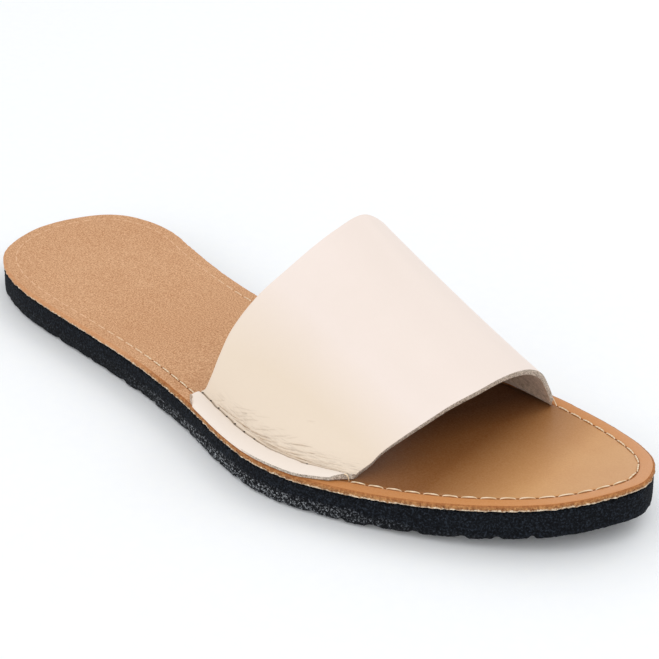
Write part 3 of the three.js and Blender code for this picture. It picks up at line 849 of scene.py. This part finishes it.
def make_band(surfaces, materials):
    """The band: a gridded sheet given its leather's thickness, with softened cut edges."""
    outer, inner, along, up, depths, _ = surfaces
    stations, steps = outer.shape[0] - 1, outer.shape[1] - 1
    mesh = bmesh.new()
    bmesh.ops.create_grid(mesh, x_segments=stations, y_segments=steps, size=1)
    crumple = mesh.verts.layers.float.new("crumple")
    trough = mesh.verts.layers.float.new("trough")
    run = mesh.verts.layers.float_vector.new("run")
    places = []
    for vertex in mesh.verts:
        i = round((vertex.co.x + 1) / 2 * stations)
        j = round((vertex.co.y + 1) / 2 * steps)
        places.append((i, j))
        vertex.co = outer[i, j]
        # The fine creases are deepest 3.2 mm above the seam and grow over its first 16 mm
        over_seam = math.exp(-((up[i, j] / MM - 3.2) / 2.6) ** 2)
        vertex[crumple] = over_seam * min(along[i, j] / (16 * MM), 1)
        vertex[trough] = depths[i, j] / MM
        vertex[run] = (along[i, j], up[i, j], 0)
    mesh.normal_update()
    crest = max(mesh.faces, key=lambda face: face.calc_center_median().z)
    if crest.normal.z < 0:
        bmesh.ops.reverse_faces(mesh, faces=mesh.faces)
    piece = smooth_object("band_leather", mesh, materials)
    wall = piece.modifiers.new("leather", "SOLIDIFY")
    wall.thickness = BAND_LEATHER
    wall.offset = -1
    wall.material_offset = 2
    wall.material_offset_rim = 1
    apply_modifiers(piece)
    for k, (i, j) in enumerate(places):
        piece.data.vertices[len(places) + k].co = inner[i, j]
    for face in piece.data.polygons:
        corners = [places[v] for v in face.vertices if v < len(places)]
        on_flange = all(up[i, j] < 0.5 * MM for i, j in corners)
        if face.material_index == 1 and on_flange and corners[0][0] < FLANGE_ROLLED_SHARE * stations:
            face.material_index = 0
    edges = piece.modifiers.new("soft_edges", "BEVEL")
    edges.width = SOFT_EDGE
    edges.segments = 2
    edges.limit_method = "ANGLE"
    edges.angle_limit = math.radians(50)
    edges.material = -1
    apply_modifiers(piece)
    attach(piece, "root")
    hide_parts("upper")
    return piece


def make_outsole(material):
    """The outsole: the CAD solid cut into small cells, its surface then roughened as crumb."""
    mesh = merged_copy("outsole")
    piece = smooth_object("crumb_outsole", mesh, [material])
    cells = piece.modifiers.new("cells", "REMESH")
    cells.mode = "VOXEL"
    cells.voxel_size = OUTSOLE_VOXEL
    apply_modifiers(piece)
    piece.data.materials.clear()
    piece.data.materials.append(material)
    mesh = bmesh.new()
    mesh.from_mesh(piece.data)
    mesh.normal_update()
    for vertex in mesh.verts:
        sideways = math.hypot(vertex.normal.x, vertex.normal.y)
        place = vertex.co
        crumb = noise.noise(place / CRUMB_SIZE) * CRUMB_RELIEF
        wave = noise.noise(place / CUT_WAVE_LENGTH) * CUT_WAVE_DEPTH * max(0, 1 - place.z / (6 * MM))
        lift = vertex.normal * (crumb + wave) * sideways
        lift.z = max(lift.z, -place.z)
        vertex.co = place + lift
    for face in mesh.faces:
        face.smooth = True
    mesh.to_mesh(piece.data)
    mesh.free()
    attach(piece, "root")
    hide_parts("outsole")
    return piece


def stitch_lines(surfaces):
    """The stitch lines: toe and heel on the footbed, and the two creases of the band."""
    outer, seam_columns = surfaces[0], surfaces[-1]
    line = inset(STITCH_MARGIN)
    tip = line[:, 0].argmax()
    order = np.arange(len(line))
    from_heel = line[:, 0] - HEEL_X
    toe_start = np.where(order < tip, BAND_LATERAL[1] - 0.1 * MM, BAND_MEDIAL[1] + 0.6 * MM)
    toe = from_heel > toe_start
    lateral_heel = (order < tip) & (from_heel < BAND_LATERAL[0] - 1 * MM)
    medial_heel = (order > tip) & (from_heel < BAND_MEDIAL[0] - 1 * MM)
    plan = (line[toe], np.vstack([line[medial_heel], line[lateral_heel]]))
    on_footbed = [np.column_stack([p, footbed_top(p[:, 0]) - GROOVE_DEPTH]) for p in plan]
    return on_footbed, [outer[SEAM_STATIONS, column] for column in seam_columns]


def needle_places(line):
    """The needle holes along one stretch, evenly spaced."""
    lengths = np.r_[0, np.linalg.norm(np.diff(line, axis=0), axis=1).cumsum()]
    places = np.linspace(0, lengths[-1], round(lengths[-1] / STITCH_PITCH) + 1)
    return [Vector([np.interp(s, lengths, line[:, axis]) for axis in range(3)]) for s in places]


def add_stitch(mesh, start, end, arch, over=None):
    """One stitch: a thread that rises out of a hole, may pass over an edge, and dips into the next."""
    along = (end - start).normalized()
    sideways = Vector((0, 0, 1)).cross(along).normalized()
    rings = [bmesh.ops.create_circle(mesh, segments=8, radius=THREAD_WIDTH / 2)["verts"]]
    count = 9
    for _ in range(count - 1):
        ring = set(rings[-1])
        edges = {edge for vertex in ring for edge in vertex.link_edges}
        edges = [edge for edge in edges if set(edge.verts) <= ring]
        made = bmesh.ops.extrude_edge_only(mesh, edges=edges)["geom"]
        rings.append([part for part in made if isinstance(part, bmesh.types.BMVert)])
    for k, ring in enumerate(rings):
        share = k / (count - 1)
        rise = arch * math.sin(math.pi * share) ** 0.5 - (THREAD_DIP if k in (0, count - 1) else 0)
        if not over:
            middle = start.lerp(end, share)
        elif share < THREAD_OVER_SHARE:
            middle = start.lerp(over, share / THREAD_OVER_SHARE)
        else:
            middle = over.lerp(end, (share - THREAD_OVER_SHARE) / (1 - THREAD_OVER_SHARE))
        middle += Vector((0, 0, rise))
        width = 0.5 + 0.5 * math.sin(math.pi * share) ** 0.45
        centre = sum((vertex.co for vertex in ring), Vector()) / len(ring)
        for vertex in ring:
            flat = vertex.co - centre
            vertex.co = middle + (sideways * flat.x * 1.1 + Vector((0, 0, flat.y * 0.85))) * width


def make_stitches(surfaces, finishes):
    """The thread and its needle holes, the holes as discs of painted shade, on the footbed and in the
    band's creases, as joined meshes.
    """
    meshes = {name: bmesh.new() for name in finishes}
    lines_of_both = stitch_lines(surfaces)
    for kind, lines in zip(("footbed", "band"), lines_of_both):
        for line in lines:
            places = needle_places(line)
            for place, following in zip(places, places[1:]):
                arch = STITCH_ARCH * stitch_wear(place.x) if kind == "footbed" else CREASE_STITCH_ARCH
                along = (following - place).normalized()
                start = place + along * STITCH_GAP / 2
                end = following - along * STITCH_GAP / 2
                add_stitch(meshes[kind + "_stitches"], start, end, arch)
            holes = meshes[kind + "_needle_holes"]
            lift = Vector((0, 0, HOLE_LIFT if kind == "footbed" else CREASE_HOLE_LIFT))
            for place in places:
                size = {"u_segments": 10, "v_segments": 6, "radius": HOLE_WIDTH / 2}
                hole = bmesh.ops.create_uvsphere(holes, **size)["verts"]
                bmesh.ops.scale(holes, vec=(1, 1, 0.3), verts=hole)
                bmesh.ops.translate(holes, vec=place + lift, verts=hole)
    # One stitch at each side passes from the band's crease over its front edge to the footbed
    (toe, _), creases = lines_of_both
    for crease, landing in zip(creases, (toe[0], toe[-1])):
        start = Vector(crease[-1]) + Vector((0, 0, BRIDGE_START_LIFT))
        landing = Vector(landing)
        forwards, across, rise = BRIDGE_EDGE
        edge = start + Vector((forwards, (landing.y - start.y) * across, rise))
        add_stitch(meshes["footbed_stitches"], start, landing, BRIDGE_ARCH, edge)
    for name, mesh in meshes.items():
        bmesh.ops.recalc_face_normals(mesh, faces=mesh.faces)
        piece = smooth_object(name, mesh, [finishes[name]])
        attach(piece, "root")


def make_stage():
    """A white paper floor, a bright surround, a wide soft light high behind and a low one in front."""
    mesh = bmesh.new()
    bmesh.ops.create_grid(mesh, x_segments=1, y_segments=1, size=3)
    floor = smooth_object("paper_floor", mesh, [seamless_paper()])
    world = bpy.data.worlds.new("studio")
    world.use_nodes = True
    world.node_tree.nodes["Background"].inputs["Color"].default_value = linear("#ffffff")
    world.node_tree.nodes["Background"].inputs["Strength"].default_value = 0.905
    bpy.context.scene.world = world
    lights = (
        ("high_softbox", (0.25, 0.75, 0.85), 0.8, 0.7, 2.1),
        ("low_fill", (0.25, -1.05, 0.38), 1.0, 0.6, 2.2),
    )
    for name, place, width, height, power in lights:
        light = bpy.data.lights.new(name, "AREA")
        light.shape = "RECTANGLE"
        light.size = width
        light.size_y = height
        light.energy = power
        lamp = bpy.data.objects.new(name, light)
        lamp.location = place
        lamp.rotation_euler = (-lamp.location).to_track_quat("-Z", "Y").to_euler()
        bpy.context.scene.collection.objects.link(lamp)
    bpy.context.scene.view_settings.view_transform = "Standard"


def make_camera():
    """The viewpoint: from in front of the toe on the outer side, looking down at 28.5 degrees."""
    azimuth, elevation = math.radians(45.2), math.radians(28.5)
    distance = 526.8 * MM
    target = Vector((-1.0, 25.4, 10)) * MM
    back = Vector((
        math.sin(azimuth) * math.cos(elevation),
        -math.cos(azimuth) * math.cos(elevation),
        math.sin(elevation),
    ))
    camera = bpy.data.objects.new("camera", bpy.data.cameras.new("camera"))
    camera.data.sensor_width = 36
    camera.data.lens = 92.4
    camera.data.clip_start = 0.01
    camera.location = target + back * distance
    camera.rotation_euler = (-back).to_track_quat("-Z", "Y").to_euler()
    bpy.context.scene.collection.objects.link(camera)
    bpy.context.scene.camera = camera


make_camera()
make_stage()
make_footbed([tan_leather_grain(), footbed_cut_edge()])
band = band_surfaces()
make_band(band, [cream_leather(), band_cut_edge(), flesh_side()])
make_outsole(crumb_rubber())
make_stitches(band, {
    "footbed_stitches": sewing_thread(),
    "band_stitches": thread_painted_in_shade(),
    "footbed_needle_holes": needle_hole("hole_shade_tan", "#6a3f20", "#8f6038", "#cf9869"),
    "band_needle_holes": needle_hole("hole_shade_cream", "#1e1712", "#3c3027", "#3c3027"),
})
